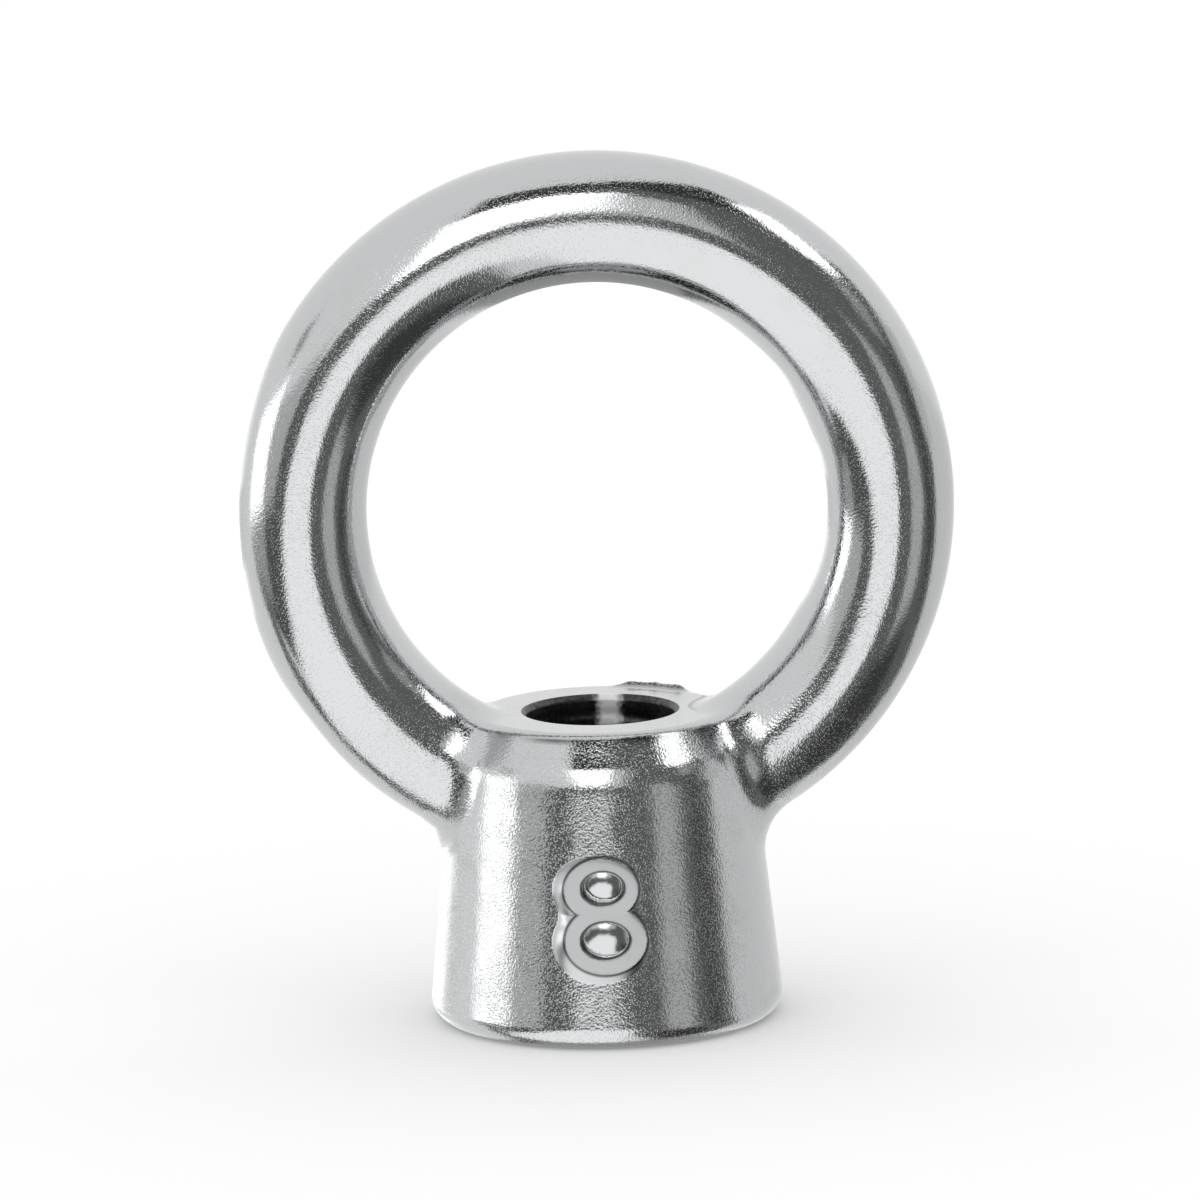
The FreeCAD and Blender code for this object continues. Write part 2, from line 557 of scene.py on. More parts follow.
def hub_surface(outline, sizes, number, angle, place):
    """A point of the hub from its angle and its place on the outline, with the number raised
    straight out from the axis."""
    radius, z, _, _ = outline.at(place)
    near, face_radius, (face, bulge, _, _) = number_place(outline, number, angle, place)
    relief = face * (face_radius - radius) + bulge * number.dome
    radius = radius + np.where(near, relief, 0.0)
    z = z + rim_ridge(outline, sizes, angle, place)
    return np.stack([radius * np.cos(angle), radius * np.sin(angle), z], axis=-1)


def hub_state(outline, sizes, number, angle, place):
    """The hub's record: painted shade along the edges of the number's face, under the front rim
    and along the ridge's foot, rubbed on the number, and rough on the ridge and a little on the face."""
    near, _, (face, _, edge_shade, worn) = number_place(outline, number, angle, place)
    turn = wrapped(angle - FRONT)
    marks = outline.marks
    # Painted shade: a wavy dark line under the front rim.
    mean, swing, count, start = RIM_SHADE_WAVES
    under_rim = np.exp(-(((place - marks[FACE_EDGE_START]) / sizes.rim_line) ** 2))
    under_rim = under_rim * smooth_step(*RIM_SHADE_ENDS, np.abs(turn))
    under_rim = under_rim * np.clip(mean + swing * np.sin(count * turn + start), 0.0, 1.0)
    ridge = rim_ridge(outline, sizes, angle, place) / sizes.ridge_h
    # Painted shade: a dark line along the inner foot of the ridge.
    inner_foot = (marks[FACE_EDGE_START] + marks[TOP_START] + sizes.ridge_half) / 2
    under_ridge = np.exp(-(((place - inner_foot) / (2 * sizes.rim_line)) ** 2))
    under_ridge = under_ridge * np.clip(ridge / RIDGE_SHADE_FROM, 0.0, 1.0)
    on_number = np.where(near, edge_shade, 0.0)
    painted_shade = np.maximum.reduce([on_number, RIM_SHADE * under_rim, RIDGE_SHADE * under_ridge])
    rubbed = np.where(near, worn, 0.0)
    foot_dull, face_dull = NUMBER_DULL
    rising = smooth_step(0.0, NUMBER_DULL_FROM, face)
    number_rough = (foot_dull + (face_dull - foot_dull) * rising) * rubbed
    rough = np.maximum(ridge, number_rough)
    return np.stack([painted_shade, rubbed, rough], axis=-1)


def add_hub_grid(parts, outline, sizes, number, angle, place):
    """A grid of the hub's surface with its normals, which point out of the metal, and its
    record. Returns the grid of its numbers."""

    def surface(first, second):
        return hub_surface(outline, sizes, number, first, second)

    inner = np.clip(place, NUDGE, outline.places[-1] - NUDGE)
    normals = surface_normals(surface, angle, inner, NUDGE / BASE_R, NUDGE)
    state = hub_state(outline, sizes, number, angle, place)
    return parts.add(surface(angle, place), normals, state)


def surface_normals(surface, first, second, first_nudge, second_nudge):
    """The cross product of a surface's slopes along its two parameters, by central differences."""
    along_first = surface(first + first_nudge, second) - surface(first - first_nudge, second)
    along_second = surface(first, second + second_nudge) - surface(first, second - second_nudge)
    return unit(np.cross(along_first, along_second))


def leg_contacts(outline, sizes):
    """Where a ball that rolls in the corner between one leg and the hub touches both.

    For each angle round the bar, the ball's centre lies one ball radius off the bar, and its
    distance along the ring is halved down until it is also one ball radius off the hub. The
    result is evened out along the loop, so that it turns gently over the rim. Returns the angle
    round the bar, the angle along the ring from its lowest point, and the angle and place on
    the hub, for one turn round the bar.
    """
    tube = np.linspace(0.0, FULL_TURN, CONTACTS, endpoint=False)
    bar_r = sizes.bar_d / 2
    low, high = (np.full(CONTACTS, end) for end in LEG_SEARCH)
    for _ in range(HALVINGS):
        along = (low + high) / 2
        centre = ring_point(sizes, along, tube, bar_r + sizes.blend_r)
        apart, place = outline.nearest(np.hypot(centre[..., 0], centre[..., 1]), centre[..., 2])
        sunk = apart < sizes.blend_r
        low = np.where(sunk, along, low)
        high = np.where(sunk, high, along)
    angle = np.arctan2(centre[..., 1], centre[..., 0])
    closed = [evened(values) for values in (along, angle, place)]
    return np.append(tube, FULL_TURN), *[np.append(values, values[0]) for values in closed]


def evened(values):
    """A closed row of values, each replaced by a bell-shaped average of its neighbours."""
    weights = np.exp(-0.5 * (np.arange(-EVEN_REACH, EVEN_REACH + 1) / EVEN_WIDTH) ** 2)
    round_again = np.concatenate([values[-EVEN_REACH:], values, values[:EVEN_REACH]])
    return np.convolve(round_again, weights / weights.sum(), "valid")


def ring_point(sizes, along, tube_angle, radius):
    """A point of the ring: along is the angle from its lowest point towards +X, and the bar's
    circle of the given radius is turned by the tube angle, which is 0 away from the eye."""
    reach = RING_OUTER_R - sizes.bar_d / 2 + radius * np.cos(tube_angle)
    return np.stack(
        [reach * np.sin(along), radius * np.sin(tube_angle), EYE_Z - reach * np.cos(along)], axis=-1
    )


def ring_normal(along, tube_angle):
    """The bar's outward direction at an angle along the ring and an angle round the bar."""
    reach = np.cos(tube_angle)
    sideways = np.sin(tube_angle) + 0 * along
    return np.stack([reach * np.sin(along), sideways, -reach * np.cos(along)], axis=-1)


def border(rows, columns):
    """Row and column numbers once round a block of a grid, from the middle of its first row."""
    across = np.arange(columns)
    up = np.arange(rows)
    row = np.concatenate([0 * across, up, 0 * across + rows, rows - up])
    column = np.concatenate([across, 0 * up + columns, columns - across, 0 * up])
    return np.roll(row, -(columns // 2)), np.roll(column, -(columns // 2))


def add_leg(parts, outline, sizes, number, hub, side, rows, columns):
    """Fills one port of the hub's grid: a patch on the hub up to the blend, and the blend itself.

    The patch is a straight mix, in angle and place, of the port's border and the blend's lower
    edge. The blend is a cubic curve, close to an arc, that leaves the hub and meets the bar
    without a crease, carried round the leg. Returns the numbers of the loop on the bar, its
    angles along the ring and its angles round the bar.
    """
    centre_angle = 0.0 if side > 0 else np.pi
    block_rows = rows[1] - rows[0]
    block_columns = columns[1] - columns[0]
    row, column = border(block_rows, block_columns)
    angles, places, numbers = hub
    edge_angle = angles[column + columns[0]] - centre_angle
    edge_place = places[row + rows[0]]
    edge_numbers = numbers[row + rows[0], column + columns[0]]

    tube, along, touch_angle, touch_place = leg_contacts(outline, sizes)
    middle_place = (places[rows[0]] + places[rows[1]]) / 2
    spoke = np.unwrap(np.arctan2(touch_angle * BASE_R, middle_place - touch_place))
    edge_spoke = np.unwrap(np.arctan2(edge_angle * BASE_R, middle_place - edge_place))
    tube_angles = np.interp(edge_spoke, spoke, tube)
    along, touch_angle, touch_place = (
        np.interp(tube_angles, tube, values) for values in (along, touch_angle, touch_place)
    )

    t = np.linspace(0.0, 1.0, PATCH_ROWS + 1)[1:, None]
    angle = edge_angle * (1 - t) + touch_angle * t + centre_angle
    place = edge_place * (1 - t) + touch_place * t
    patch = add_hub_grid(parts, outline, sizes, number, angle, place)
    parts.quads(np.vstack([edge_numbers[None], patch]), closed=True)

    half_turn = np.array([side, side, 1.0])
    radius, z, out_r, out_z = outline.at(touch_place)
    cosine, sine = np.cos(touch_angle), np.sin(touch_angle)
    foot = np.stack([radius * cosine, radius * sine, z], axis=-1)
    foot_normal = np.stack([out_r * cosine, out_r * sine, out_z], axis=-1)
    head = ring_point(sizes, along, tube_angles, sizes.bar_d / 2)
    head_normal = ring_normal(along, tube_angles)
    t = np.linspace(0.0, 1.0, BLEND_ROWS + 1)[1:, None, None]
    points, normals = blend_curve(foot, foot_normal, head, head_normal, t)
    # Painted shade in the corner behind the foot of the +X leg.
    painted_shade = np.zeros(points.shape)
    if side > 0:
        off_middle = (t[..., 0] - ROOT_SHADE_MIDDLE) / ROOT_SHADE_WIDTH
        behind = ROOT_SHADE * rise_and_fall(ROOT_TUBE, tube_angles)
        painted_shade[..., 0] = behind * np.exp(-(off_middle**2))
    blend = parts.add(points * half_turn, normals * half_turn, painted_shade)
    parts.quads(np.vstack([patch[-1:], blend]), closed=True)
    return blend[-1], along, tube_angles


def blend_curve(foot, foot_normal, head, head_normal, t):
    """Cubic curves from each foot to each head, square to both normals, and their normals.

    Each curve leaves along the part of the chord that lies in the surface. The lengths of its
    handles are those that make a cubic follow an arc: (4/3) tan(a/4) times the arc's radius,
    where a is the angle between the two normals.
    """
    chord = head - foot
    cosine = np.clip((foot_normal * head_normal).sum(axis=-1, keepdims=True), -1.0, 1.0)
    opening = np.arccos(cosine)
    arc_r = np.linalg.norm(chord, axis=-1, keepdims=True) / (2.0 * np.sin(opening / 2))
    handle = arc_r * np.tan(opening / 4) * 4.0 / 3.0
    leaving = unit(chord - (chord * foot_normal).sum(axis=-1, keepdims=True) * foot_normal)
    meeting = unit(chord - (chord * head_normal).sum(axis=-1, keepdims=True) * head_normal)
    first = foot + leaving * handle
    second = head - meeting * handle
    near = (1 - t) ** 3 * foot + 3 * (1 - t) ** 2 * t * first
    far = 3 * (1 - t) * t**2 * second + t**3 * head
    normals = np.sin((1 - t) * opening) * foot_normal + np.sin(t * opening) * head_normal
    return near + far, normals / np.sin(opening)


def add_hub(parts, outline, sizes, number):
    """The hub's outside as a grid of angle and place, with a port left open for each leg."""
    angles = hub_angles()
    places = hub_places(outline)
    angle, place = np.meshgrid(angles, places)
    numbers = add_hub_grid(parts, outline, sizes, number, angle, place)
    low = int(np.searchsorted(places, outline.place_of_height(PORT_BELOW)))
    top_place = outline.marks[TOP_START] + (outline.at(outline.marks[TOP_START])[0] - PORT_TOP_R)
    high = int(np.searchsorted(places, top_place))
    rows = (low, high)
    ports = ((0, PORT_COLUMNS), (PORT_COLUMNS + BACK_COLUMNS, 2 * PORT_COLUMNS + BACK_COLUMNS))
    keep = np.ones((len(places) - 1, len(angles)), bool)
    for start, end in ports:
        keep[low:high, start:end] = False
    polished = (places[:-1] > outline.marks[BASE_EDGE_START] - NUDGE)[:, None] & keep
    polished &= (places[:-1] < outline.marks[MOUTH_EDGE_START] - NUDGE)[:, None]
    parts.quads(numbers, closed=True, kind=0, keep=polished)
    parts.quads(numbers, closed=True, kind=1, keep=keep & ~polished)
    return angles, places, numbers, rows, ports


def add_ring(parts, sizes, right, left):
    """The ring's free part: a circle carried round the eye from one blend to the other, each
    column going evenly from its end on the right leg to its end on the left one."""
    right_numbers, right_along, right_tube = right
    left_numbers, left_along, left_tube = (np.roll(values[::-1], 1) for values in left)
    left_along = FULL_TURN - left_along
    tube_turn = wrapped(-left_tube - right_tube)
    t = np.linspace(0.0, 1.0, RING_ROWS + 1)[1:-1, None]
    along = right_along * (1 - t) + left_along * t
    tube = right_tube + tube_turn * t
    bar_r = sizes.bar_d / 2
    ring = parts.add(ring_point(sizes, along, tube, bar_r), ring_normal(along, tube))
    parts.quads(np.vstack([right_numbers[None], ring, left_numbers[None]]), closed=True)


def bore_radius(angle, z, sizes, thread):
    """Radius of the bore: the larger of the thread and the two countersunk mouths.

    The thread rises one pitch in a turn. Across a pitch it is flat at the crest, then a straight
    flank, then flat at the root, and near the top its depth fades to nothing.
    """
    phase = z / thread.pitch - angle / FULL_TURN
    from_crest = np.abs(phase - np.round(phase))
    crest = thread.crest_share / 2
    root = 0.5 - thread.root_share / 2
    depth = (thread.nominal_d / 2 - BORE_R) * np.clip((from_crest - crest) / (root - crest), 0.0, 1.0)
    fade_end = sizes.hub_h - 2 * sizes.top_mouth
    depth = depth * (1.0 - smooth_step(fade_end - thread.run_out, fade_end, z))
    seat_cone = BORE_R + sizes.seat_mouth - z
    top_cone = BORE_R + sizes.top_mouth - (sizes.hub_h - z)
    return np.maximum(BORE_R + depth, np.maximum(seat_cone, top_cone))


def add_bore(parts, outline, sizes, thread, angles, hub_numbers):
    """The bore as a grid of angle and height between the two ends of the hub's outline."""
    low = outline.points[0, 1]
    high = outline.points[-1, 1]
    heights = spaced((low, high, THREAD_STEP))[1:-1]
    angle, z = np.meshgrid(angles, heights)

    def surface(first, second):
        radius = bore_radius(first, second, sizes, thread)
        return np.stack([radius * np.cos(first), radius * np.sin(first), second], axis=-1)

    normals = surface_normals(surface, angle, z, NUDGE / BORE_R, NUDGE * 5)
    towards_axis = -np.stack([np.cos(angle), np.sin(angle), 0 * z], axis=-1)
    normals *= np.sign((normals * towards_axis).sum(axis=-1, keepdims=True))
    bore = parts.add(surface(angle, z), normals)
    parts.quads(np.vstack([hub_numbers[:1], bore, hub_numbers[-1:]]), closed=True, kind=1)


class Socket:
    """One output of a node, with Python's own arithmetic. An expression adds its Math nodes."""

    def __init__(self, tree, output):
        self.tree = tree
        self.output = output

    def math(self, operation, *others):
        return self.tree.add("ShaderNodeMath", {"operation": operation}, [self, *others])

    def __add__(self, other):
        return self.math("ADD", other)

    __radd__ = __add__

    def __sub__(self, other):
        return self.math("SUBTRACT", other)

    def __rsub__(self, other):
        return self.tree.add("ShaderNodeMath", {"operation": "SUBTRACT"}, [other, self])

    def __mul__(self, other):
        return self.math("MULTIPLY", other)

    __rmul__ = __mul__

    def __abs__(self):
        return self.math("ABSOLUTE")

    def largest(self, other):
        return self.math("MAXIMUM", other)

    def smallest(self, other):
        return self.math("MINIMUM", other)

    def step(self, low, high):
        """0 at low, 1 at high and smooth between them. Low may be the larger."""
        settings = {"interpolation_type": "SMOOTHSTEP"}
        inputs = {"Value": self, "From Min": low, "From Max": high}
        return self.tree.add("ShaderNodeMapRange", settings, inputs)


class Tree:
    """A node tree that is built by one method."""

    def __init__(self, owner):
        owner.use_nodes = True
        self.nodes = owner.node_tree.nodes
        self.links = owner.node_tree.links
        self.nodes.clear()

    def add(self, kind, settings=None, inputs=(), output=0):
        """Adds a node of a kind, with its settings first and then its sockets' values or links.
        The inputs are a list in the node's order, or a dictionary by name or number."""
        node = self.nodes.new(kind)
        for name, value in (settings or {}).items():
            setattr(node, name, value)
        pairs = inputs.items() if isinstance(inputs, dict) else enumerate(inputs)
        for key, value in pairs:
            if isinstance(value, Socket):
                self.links.new(value.output, node.inputs[key])
            else:
                node.inputs[key].default_value = value
        return Socket(self, node.outputs[output]) if node.outputs else node

    def blend(self, share, first, second):
        """A colour that goes from first to second with the share."""
        inputs = {0: share, 6: first, 7: second}
        return self.add("ShaderNodeMix", {"data_type": "RGBA"}, inputs, output=2)

    def split(self, vector):
        """The three parts of a vector."""
        first = self.add("ShaderNodeSeparateXYZ", None, [vector])
        return [Socket(self, output) for output in first.output.node.outputs]

    def noise(self, vector, size, detail=2.0, roughness=0.5):
        """Soft noise from 0 to 1, whose lumps are about as wide as the size."""
        inputs = {"Vector": vector, "Scale": 1.0 / size, "Detail": detail, "Roughness": roughness}
        return self.add("ShaderNodeTexNoise", None, inputs)


def rgba(tint):
    """A colour property as four numbers."""
    return (*tint, 1.0)


# Heights between which the ring's finish gives way to the hub's, the bare seat to the bore's
# painted shade, and the bore to its painted highlight streak, and how far behind the axis the
# streak starts and is full.
HUB_FADE = (16.5 * MM, 12.5 * MM)
BORE_FADE = (0.1 * MM, 1.6 * MM)
STREAK_FADE = (8.0 * MM, 12.0 * MM)
STREAK_BEHIND = (0.0, 1.0 * MM)
# Where each noise, which goes from 0 to 1, starts to show and where it shows fully.
PATCH_RANGE = (0.3, 0.7)
FILM_RANGE = (0.52, 0.74)
SPECK_RANGE = (0.58, 0.70)
SPOT_RANGE = (0.44, 0.56)
DARK_RANGE = (0.35, 0.75)
# How rough the record must say the surface is for black spots. The number's face has none.
SPOTTED = (0.31, 0.5)
# How much rougher each thing makes the metal, and the most that the record adds.
ROUGHER = 0.9
ROUGHER_MOST = 0.35
FILM_ROUGHER = 0.02
GRAIN_ROUGHER = 0.12
STREAK_ROUGHER = 0.35
# The grain's least share of its depth, how much deeper the record makes it, and the share of
# the relief that rubbing takes off.
GRAIN_LEAST = 0.5
GRAIN_DEEPER = 2.5
RUBBED_OFF = 0.9
# The painted highlight streak's waver, and where its edge ends and is full as shares of its half width.
STREAK_WAVER = 0.5 * MM
STREAK_EDGE = (1.5, 0.5)


def between(share, first, second):
    """A value that goes from first to second with the share."""
    return first + share * (second - first)


def new_material(name):
    """A new material, the tree of its nodes and its Object coordinates."""
    material = bpy.data.materials.new(name)
    tree = Tree(material)
    return material, tree, tree.add("ShaderNodeTexCoord", output=3)


def finish_metal(tree, tint, roughness, relief):
    """Ends a tree as metal with this colour, roughness and relief."""
    bump = tree.add("ShaderNodeBump", None, {"Strength": 1.0, "Distance": 1.0, "Height": relief})
    inputs = {"Base Color": tint, "Metallic": 1.0, "Roughness": roughness, "Normal": bump}
    surface = tree.add("ShaderNodeBsdfPrincipled", None, inputs)
    tree.add("ShaderNodeOutputMaterial", None, [surface])


def polished_steel(finish):
    """Cast steel, polished bright on the ring and duller on the hub.

    Fine grain and slow ripples bend the reflections, and the grain is deeper below the ring and
    in slow patches. A faint film darkens and warms patches, and painted shade lies along sharp
    edges and creases.
    """
    material, tree, place = new_material("polished_cast_steel")
    on_hub = tree.split(place)[2].step(*HUB_FADE)
    grain = tree.noise(place, finish.grain_size, detail=1.0, roughness=0.45)
    patches = tree.noise(place, finish.patch_size).step(*PATCH_RANGE)
    ripple = tree.noise(place, finish.ripple_size, detail=1.0)
    film = tree.noise(place, finish.film_size, detail=4.0, roughness=0.6).step(*FILM_RANGE)
    specks = tree.noise(place, finish.speck_size, detail=0.0).step(*SPECK_RANGE)
    state = tree.add("ShaderNodeAttribute", {"attribute_name": STATE}, output=1)
    painted_shade, rubbed, rough = tree.split(state)
    film_share = film * between(on_hub, finish.ring_film, finish.hub_film)
    tint = tree.blend(film_share, rgba(finish.tint), rgba(finish.stain))
    spots = rough.step(*SPOTTED) * grain.step(*SPOT_RANGE)
    # Painted shade: the record's first channel darkens edges and creases to near black. The black spots
    # on the rough ridge use the same colour.
    tint = tree.blend(painted_shade.largest(spots), tint, rgba(finish.shade_and_grime))
    dull = between(on_hub, finish.ring_speck, finish.hub_speck) * specks * patches * (1.0 - rubbed)
    dull = dull + (ROUGHER * rough).smallest(ROUGHER_MOST)
    roughness = between(on_hub, finish.polish, finish.satin) + FILM_ROUGHER * film + dull
    depth = between(on_hub, finish.ring_grain, finish.hub_grain)
    coarse = grain * (GRAIN_LEAST + patches + GRAIN_DEEPER * rough) - specks * finish.speck_share
    relief = coarse * depth * (1.0 - RUBBED_OFF * rubbed) + ripple * finish.ripple_depth
    finish_metal(tree, tint, roughness, relief)
    return material


def cut_steel(finish):
    """Turned and tapped metal of the bore and the seat, with fine rings left by the tool. The
    seat is bare, and the bore carries painted shade, near black, with one painted highlight
    streak at the top of its back."""
    material, tree, place = new_material("cut_steel")
    grain = tree.noise(place, finish.cut_grain_size, detail=3.0)
    x, y, height = tree.split(place)
    radius = (x * x + y * y).math("SQRT")
    rings = (radius * (FULL_TURN / finish.tool_pitch)).math("SINE")
    # A painted highlight: a bright streak painted on the back of the bore near its top.
    off_streak = abs(x - finish.streak_x) + STREAK_WAVER * (grain - 0.5)
    streak = off_streak.step(*(finish.streak_half * edge for edge in STREAK_EDGE))
    streak = streak * y.step(*STREAK_BEHIND) * height.step(*STREAK_FADE)
    # Painted shade: above the seat, the bore is coloured near black, with darker grain.
    dull = tree.blend(grain.step(*DARK_RANGE), rgba(finish.painted_bore_shade), rgba(finish.shade_and_grime))
    tint = tree.blend(height.step(*BORE_FADE), rgba(finish.tint), dull)
    tint = tree.blend(streak, tint, rgba(finish.painted_streak_highlight))
    roughness = finish.cut + GRAIN_ROUGHER * grain + STREAK_ROUGHER * streak
    relief = rings * finish.tool_depth + grain * finish.cut_grain
    finish_metal(tree, tint, roughness, relief)
    return material


class EYENUT_OT_body(bpy.types.Operator):
    """Build the polished skin: ring, hub, blends, size number and threaded bore in one mesh"""

    bl_idname = "eyenut.body"
    bl_label = "Eye nut"

    def execute(self, context):
        scene = context.scene
        sizes = scene.eye_nut_sizes
        outline = hub_outline(sizes)
        parts = Parts()
        angles, places, numbers, rows, ports = add_hub(parts, outline, sizes, scene.eye_nut_number)
        hub = (angles, places, numbers)
        right = add_leg(parts, outline, sizes, scene.eye_nut_number, hub, 1, rows, ports[0])
        left = add_leg(parts, outline, sizes, scene.eye_nut_number, hub, -1, rows, ports[1])
        add_ring(parts, sizes, right, left)
        add_bore(parts, outline, sizes, scene.eye_nut_thread, angles, numbers)
        mesh = parts.mesh("polished_eye_nut")
        mesh.materials.append(polished_steel(scene.eye_nut_finish))
        mesh.materials.append(cut_steel(scene.eye_nut_finish))
        piece = bpy.data.objects.new("polished_eye_nut", mesh)
        scene.collection.objects.link(piece)
        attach(piece, "root")
        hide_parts(NODE)
        return {"FINISHED"}


# The camera: what it aims at, how far off it stands, and how it is turned.
AIM = (0.0, 0.0, 20.0 * MM)
CAMERA_AWAY = 400.0 * MM
CAMERA_UP = np.radians(10.65)
CAMERA_TURN = np.radians(-1.73)
CAMERA_ROLL = np.radians(-1.47)
FRAME_PIXELS = 1200
PIXELS_PER_METRE = 22030.0
FRAME_CENTRE = (597.0, 581.9)
SENSOR = 36.0
CLIP = (0.01, 20.0)


def camera_axes():
    """Right, up and backwards of the camera: backwards points from the aim to the camera, raised
    and turned by its angles, and right and up are rolled about it."""
    level = np.array([np.cos(CAMERA_TURN), np.sin(CAMERA_TURN), 0.0])
    ahead = np.array([-level[1], level[0], 0.0])
    back = np.sin(CAMERA_UP) * np.array([0.0, 0.0, 1.0]) - np.cos(CAMERA_UP) * ahead
    upright = np.cross(back, level)
    right = np.cos(CAMERA_ROLL) * level + np.sin(CAMERA_ROLL) * upright
    up = np.cos(CAMERA_ROLL) * upright - np.sin(CAMERA_ROLL) * level
    return right, up, back


def add_camera(scene):
    """The camera at the photograph's viewing angle, with its frame shifted to the same centre."""
    right, up, back = camera_axes()
    data = bpy.data.cameras.new("camera")
    data.sensor_width = SENSOR
    data.lens = SENSOR * PIXELS_PER_METRE * CAMERA_AWAY / FRAME_PIXELS
    data.shift_x = 0.5 - FRAME_CENTRE[0] / FRAME_PIXELS
    data.shift_y = FRAME_CENTRE[1] / FRAME_PIXELS - 0.5
    data.clip_start, data.clip_end = CLIP
    camera = bpy.data.objects.new("camera", data)
    place = np.eye(4)
    place[:3, :3] = np.stack([right, up, back], axis=1)
    place[:3, 3] = np.array(AIM) + back * CAMERA_AWAY
    camera.matrix_world = Matrix(place.tolist())
    scene.collection.objects.link(camera)
    scene.camera = camera


# One card of the studio, in the order they are laid over each other. A card is a convex patch,
# placed by where it shines on a polished ball seen from the front: its corners are hundredths of
# the ball's radius to the right and up, edge is the share of the radius over which it fades, and
# level is how bright it is.
Card = namedtuple("Card", "name edge level corners")
HUNDREDTH = 100
CARDS = (
    Card("left backdrop", 0.1, 1.8, ((-120, 60), (-90, 45), (-90, -30), (-120, -40))),
    Card("left backdrop low", 0.08, 1.8, ((-120, -26), (-74, -61), (-51, -120), (-120, -120))),
    Card("left pane", 0.03, 0.9, ((-93, 0), (-86, 0), (-86, -20), (-93, -20))),
    Card("right wall", 0.12, 0.84, ((72, 20), (120, 20), (120, -90), (56, -90))),
    Card("bottom", 0.08, 0.42, ((-40, -68), (45, -70), (45, -120), (-30, -120))),
    Card("upper wall", 0.04, 0.06, ((-19, 47), (5, 47), (30, 30), (0, 10), (-19, 25))),
    Card("peak", 0.04, 0.05, ((0, 46), (14, 55), (25, 62), (36, 52), (42, 25), (0, 30))),
    Card(
        "dark room", 0.05, 0.16,
        ((2, 40), (56, 44), (63, 36), (70, 5), (71.5, -22), (70, -46), (55, -64), (24, -72), (4, -10)),
    ),
    Card("dark floor", 0.08, 0.06, ((26, -32), (52, -34), (56, -56), (46, -66), (30, -66))),
    Card("dark edge", 0.05, 0.09, ((50, 20), (57, 20), (66, -8), (67, -30), (61, -30))),
    Card("light strip", 0.05, 0.7, ((62, 32), (70, 32), (76, 4), (66, 2))),
    Card("thin shelf", 0.04, 0.16, ((8, -6), (2, 0), (-16, 4), (-34, -2), (-40, -14), (-26, -17))),
    Card("shelf", 0.05, 0.12, ((-30, -6), (-66, -15), (-68, -30), (-50, -40), (-38, -30), (-26, -16))),
    Card("shelf end", 0.05, 0.46, ((-75, -16), (-54, -13), (-54, -28), (-70, -32))),
    Card("side pane", 0.04, 0.62, ((-60, 7), (-30, 5), (-31, -2), (-39, -14), (-60, -14))),
    Card("side frame", 0.04, 0.15, ((-31, 0), (-22, -2), (-27, -17), (-40, -17))),
    Card("arc a", 0.04, 0.2, ((-69, -26), (-63, -26), (-54, -46), (-62, -50))),
    Card("arc b", 0.04, 0.18, ((-62, -48), (-54, -44), (-36, -66), (-44, -72))),
    Card("arc c", 0.04, 0.18, ((-43, -70), (-37, -66), (-24, -84), (-32, -90))),
    Card(
        "table", 0.05, 1.38,
        (
            (17, -22), (13, -14.5), (-16.5, -10), (-31, -24), (-46, -38),
            (-50, -54), (-40, -64), (-20, -74), (8.5, -74),
        ),
    ),
    Card("front window", 0.04, 2.4, ((-22, 32), (7, 33), (5, 7.5), (-4, 3), (-15, 2))),
    Card("window side", 0.05, 0.75, ((5, 30), (16, 30), (14, 2), (5, 2))),
    Card("upper window", 0.04, 2.6, ((30, 53), (40, 56), (53, 38), (46, 32), (38, 34))),
    Card("far pane", 0.05, 0.42, ((45, 31), (56, 31), (56, 17), (47, 17))),
    Card("side window", 0.04, 2.2, ((-76, 13), (-57, 13), (-56, -12), (-76, -12))),
    Card("side spot", 0.05, 0.4, ((-64, 30), (-58, 30), (-57, 20), (-63, 20))),
    Card("grey wall", 0.06, 0.62, ((31, 5), (42, 5), (52, -12), (50, -28), (36, -30))),
)
# Level behind the cards, level of the light on the floor, and the floor's reach and colour.
BACKGROUND = 1.0
FLOOR_LIGHT = 1.04
FLOOR_REACH = 1.5
FLOOR_COLOUR = (0.98, 0.98, 0.98, 1.0)
WHITE = (1.0, 1.0, 1.0, 1.0)


def card_depth(card, across, upward):
    """How deep a point lies inside a card: its smallest distance to the lines of the edges."""
    corners = np.array(card.corners) / HUNDREDTH
    ends = np.roll(corners, -1, axis=0)
    along = unit(ends - corners)
    inwards = np.stack([-along[:, 1], along[:, 0]], axis=-1)
    inwards *= np.sign(((corners.mean(axis=0) - corners) * inwards).sum(axis=1))[:, None]
    shift = (corners * inwards).sum(axis=1)
    depth = None
    for (x, y), offset in zip(inwards.tolist(), shift.tolist()):
        inside = across * x + upward * y - offset
        depth = inside if depth is None else depth.smallest(inside)
    return depth


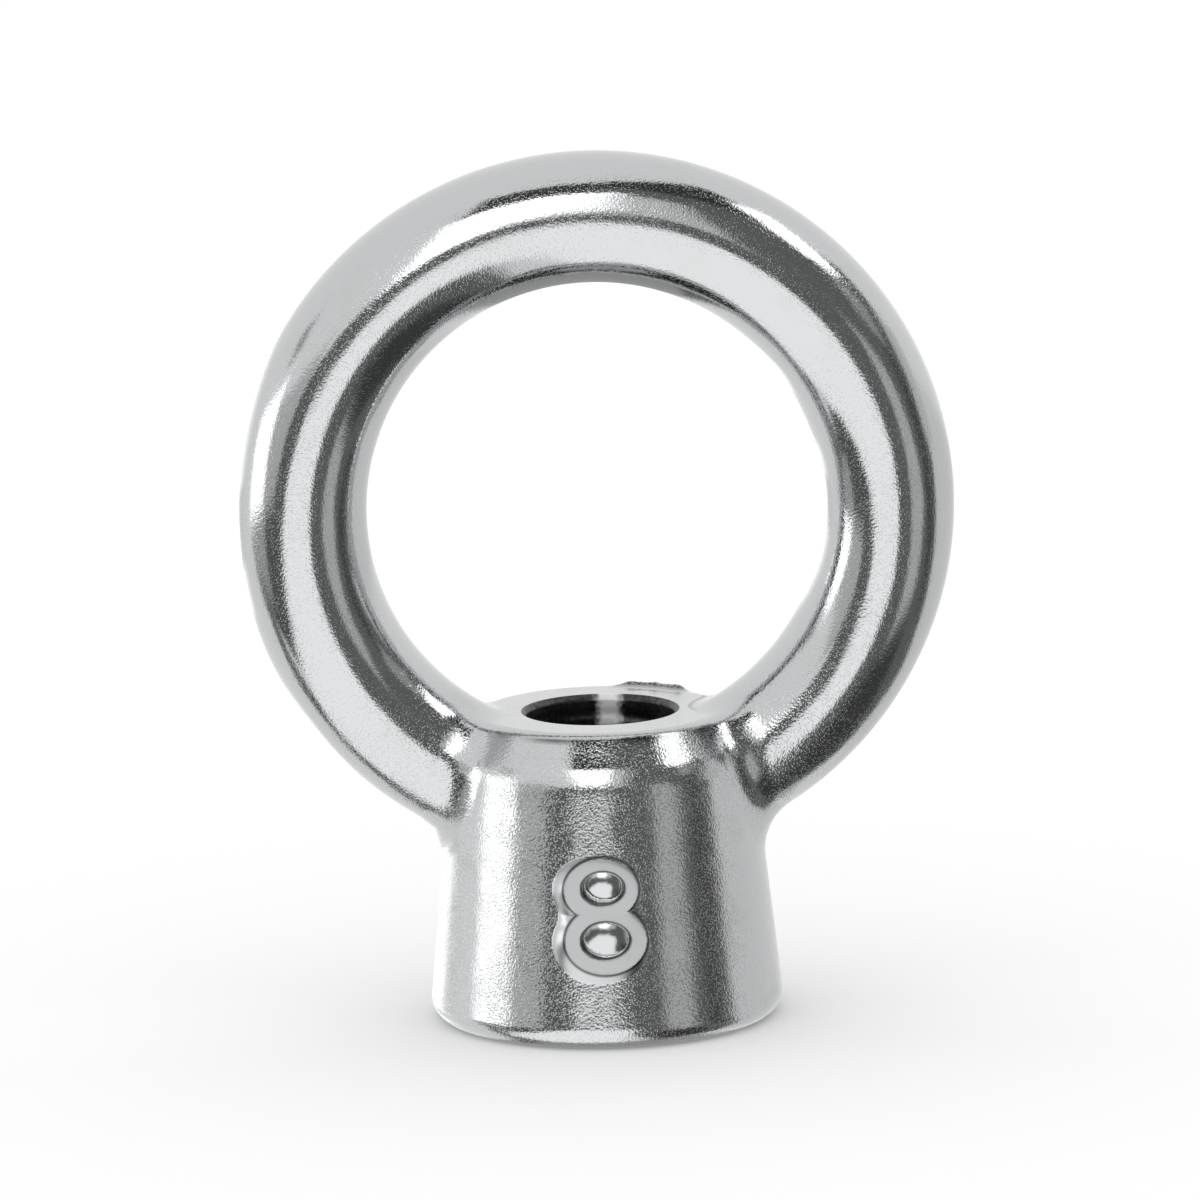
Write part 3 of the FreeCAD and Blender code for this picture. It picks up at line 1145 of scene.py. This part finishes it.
def studio_world(scene):
    """A pale studio with a dark opening and bright windows in front, as the metal sees it.

    The direction is turned into the place where a polished ball would show it: half way
    between the direction and the camera's axis, measured to the right and up.
    """
    world = bpy.data.worlds.new("studio")
    scene.world = world
    tree = Tree(world)
    right, up, back = camera_axes()
    direction = tree.add("ShaderNodeTexCoord")
    total = tree.add("ShaderNodeVectorMath", {"operation": "ADD"}, [direction, tuple(back)])
    half = tree.add("ShaderNodeVectorMath", {"operation": "NORMALIZE"}, [total])
    dot = {"operation": "DOT_PRODUCT"}
    across, upward = (
        tree.add("ShaderNodeVectorMath", dot, [half, tuple(axis)], output=1) for axis in (right, up)
    )
    level = BACKGROUND
    for card in CARDS:
        inside = card_depth(card, across, upward).step(-card.edge / 2, card.edge / 2)
        level = inside * (card.level - level) + level
    glossy = tree.add("ShaderNodeLightPath", output=3)
    plain, shine = (
        tree.add("ShaderNodeBackground", None, {"Color": WHITE, "Strength": strength})
        for strength in (FLOOR_LIGHT, level)
    )
    mixed = tree.add("ShaderNodeMixShader", None, [glossy, plain, shine])
    tree.add("ShaderNodeOutputWorld", None, [mixed])


def add_floor(scene):
    """A plain pale floor, a flat square with the seat at its middle."""
    ends = np.array([-FLOOR_REACH, FLOOR_REACH])
    x, y = np.meshgrid(ends, ends)
    points = np.stack([x, y, 0 * x], axis=-1).reshape(-1, 3)
    mesh = bpy.data.meshes.new("floor")
    mesh.from_pydata(points, [], [(0, 1, 3, 2)])
    material = bpy.data.materials.new("pale_floor")
    tree = Tree(material)
    surface = tree.add("ShaderNodeBsdfDiffuse", None, {"Color": FLOOR_COLOUR})
    tree.add("ShaderNodeOutputMaterial", None, [surface])
    mesh.materials.append(material)
    floor = bpy.data.objects.new("floor", mesh)
    floor.visible_glossy = False
    scene.collection.objects.link(floor)


class EYENUT_OT_stage(bpy.types.Operator):
    """Set up the pale floor, the studio light and the camera"""

    bl_idname = "eyenut.stage"
    bl_label = "Studio"

    def execute(self, context):
        scene = context.scene
        add_floor(scene)
        studio_world(scene)
        add_camera(scene)
        scene.view_settings.view_transform = "Standard"
        return {"FINISHED"}


class EYENUT_PT_panel(bpy.types.Panel):
    """Lists the pieces and the sizes in the 3D view's sidebar"""

    bl_idname = "EYENUT_PT_panel"
    bl_label = "Lifting Eye Nut"
    bl_space_type = "VIEW_3D"
    bl_region_type = "UI"
    bl_category = "Eye Nut"

    def draw(self, context):
        layout = self.layout
        for operator in OPERATORS:
            layout.operator(operator.bl_idname)
        for name, group in GROUPS.items():
            box = layout.box()
            for prop in group.__annotations__:
                box.prop(getattr(context.scene, name), prop)


GROUPS = {
    "eye_nut_sizes": EyeNutSizes,
    "eye_nut_thread": ThreadSizes,
    "eye_nut_number": NumberSizes,
    "eye_nut_finish": SteelFinish,
}
OPERATORS = (EYENUT_OT_body, EYENUT_OT_stage)


def register():
    for group in GROUPS.values():
        bpy.utils.register_class(group)
    for name, group in GROUPS.items():
        setattr(bpy.types.Scene, name, PointerProperty(type=group))
    for operator in OPERATORS:
        bpy.utils.register_class(operator)
    bpy.utils.register_class(EYENUT_PT_panel)


def unregister():
    bpy.utils.unregister_class(EYENUT_PT_panel)
    for operator in reversed(OPERATORS):
        bpy.utils.unregister_class(operator)
    for name in GROUPS:
        delattr(bpy.types.Scene, name)
    for group in GROUPS.values():
        bpy.utils.unregister_class(group)


def main():
    """Registers the classes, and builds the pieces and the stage."""
    register()
    bpy.ops.eyenut.body()
    bpy.ops.eyenut.stage()


if __name__ == "__main__":
    main()
